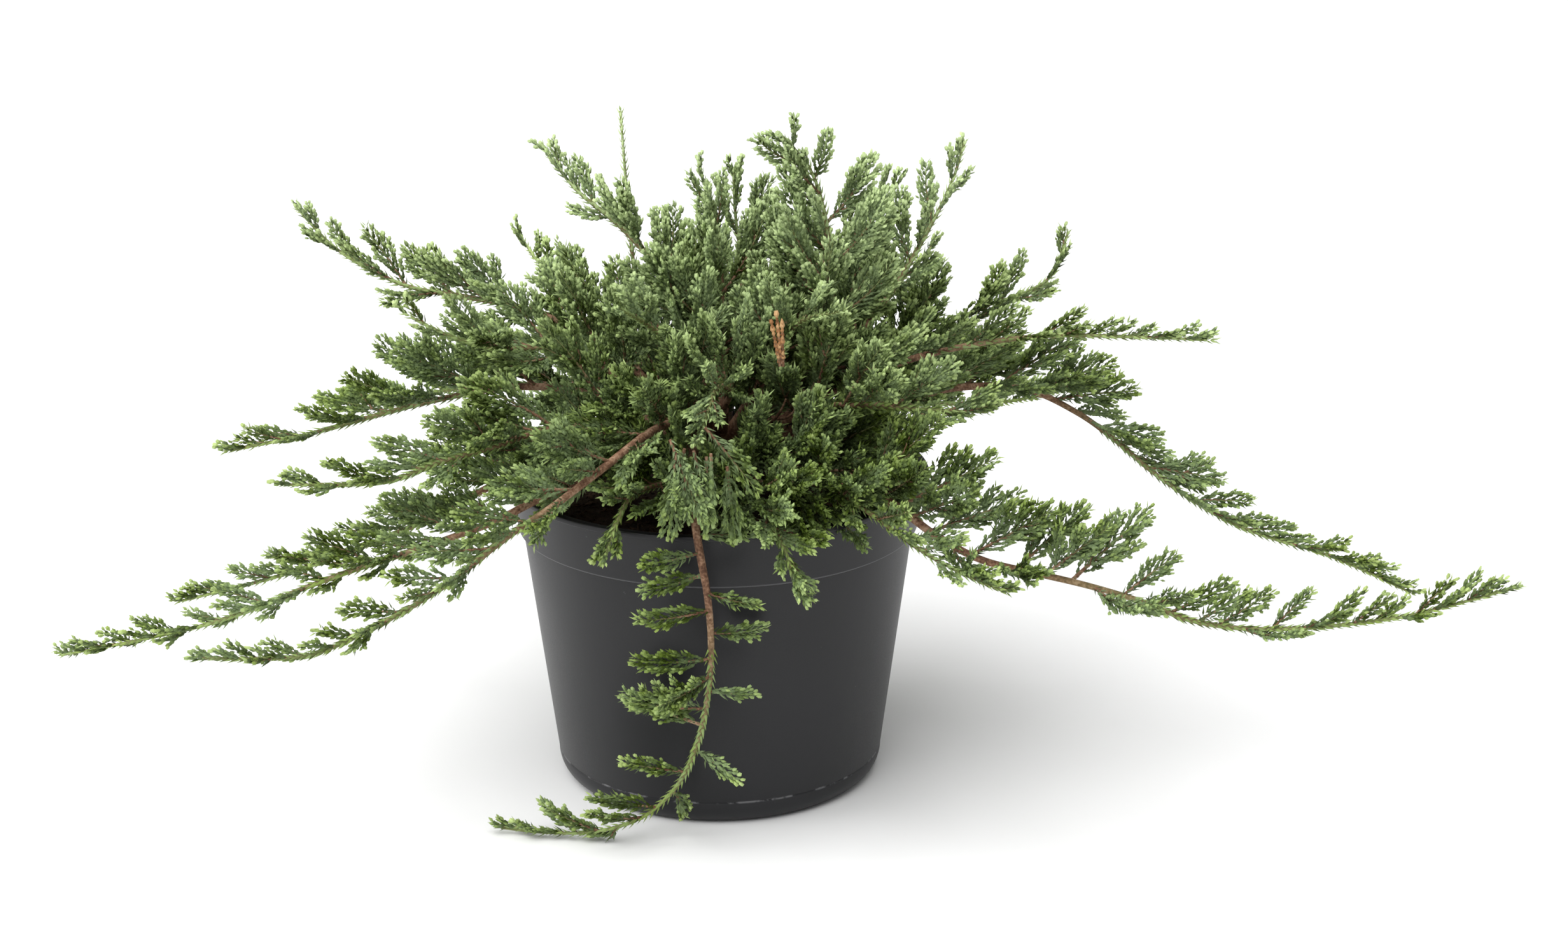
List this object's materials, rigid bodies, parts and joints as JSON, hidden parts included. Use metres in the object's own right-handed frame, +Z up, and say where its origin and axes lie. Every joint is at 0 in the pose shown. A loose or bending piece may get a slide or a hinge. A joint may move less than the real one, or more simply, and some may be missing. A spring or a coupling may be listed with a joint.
{
  "type": "potted juniper",
  "caption": "Creeping juniper whose long scaly-leaved branches arch and trail over the rim of a round dark nursery pot, which stands on its flat underside.",
  "frame": {"origin": "centre of the pot's underside, on the surface that the pot stands on", "axes": "+Z up along the pot's axis, +X to the right, -Y to the front, where one branch trails down the pot; the plant spreads farthest along X"},
  "size_m": [0.6035, 0.4141, 0.2951],
  "materials": {
    "pot_plastic": "satin",
    "mix": "matte",
    "bark": "matte",
    "foliage": "matte"
  },
  "bodies": {
    "root": {"foliage_back_left": "foliage", "foliage_back_low_left": "foliage", "foliage_back_low_mid": "foliage", "foliage_back_low_right": "foliage", "foliage_front_trail": "foliage", "foliage_left_front": "foliage", "foliage_left_high": "foliage", "foliage_left_low": "foliage", "foliage_left_mid": "foliage", "foliage_left_upper": "foliage", "foliage_right_arch": "foliage", "foliage_right_high": "foliage", "foliage_right_low": "foliage", "foliage_right_mid": "foliage", "foliage_right_up": "foliage", "foliage_top_mid": "foliage", "foliage_top_right": "foliage", "foliage_upper_left": "foliage", "pot": "pot_plastic", "potting_mix": "mix", "root_crown": "bark", "spray_back_high_left": "foliage", "spray_back_high_mid": "foliage", "spray_back_high_right": "foliage", "spray_centre_left": "foliage", "spray_centre_right": "foliage", "spray_front_left_hang": "foliage", "spray_front_mid": "foliage", "spray_front_right_hang": "foliage", "spray_left_near": "foliage", "spray_left_tuft": "foliage", "spray_right_dome": "foliage", "spray_right_small": "foliage", "spray_thin_whip": "foliage", "spray_top_back": "foliage", "spray_top_right_back": "foliage", "stem_back_left": "bark", "stem_back_low_left": "bark", "stem_back_low_mid": "bark", "stem_back_low_right": "bark", "stem_front_trail": "bark", "stem_left_front": "bark", "stem_left_high": "bark", "stem_left_low": "bark", "stem_left_mid": "bark", "stem_left_upper": "bark", "stem_right_arch": "bark", "stem_right_high": "bark", "stem_right_low": "bark", "stem_right_mid": "bark", "stem_right_up": "bark", "stem_top_mid": "bark", "stem_top_right": "bark", "stem_upper_left": "bark"}
  },
  "joints": []
}
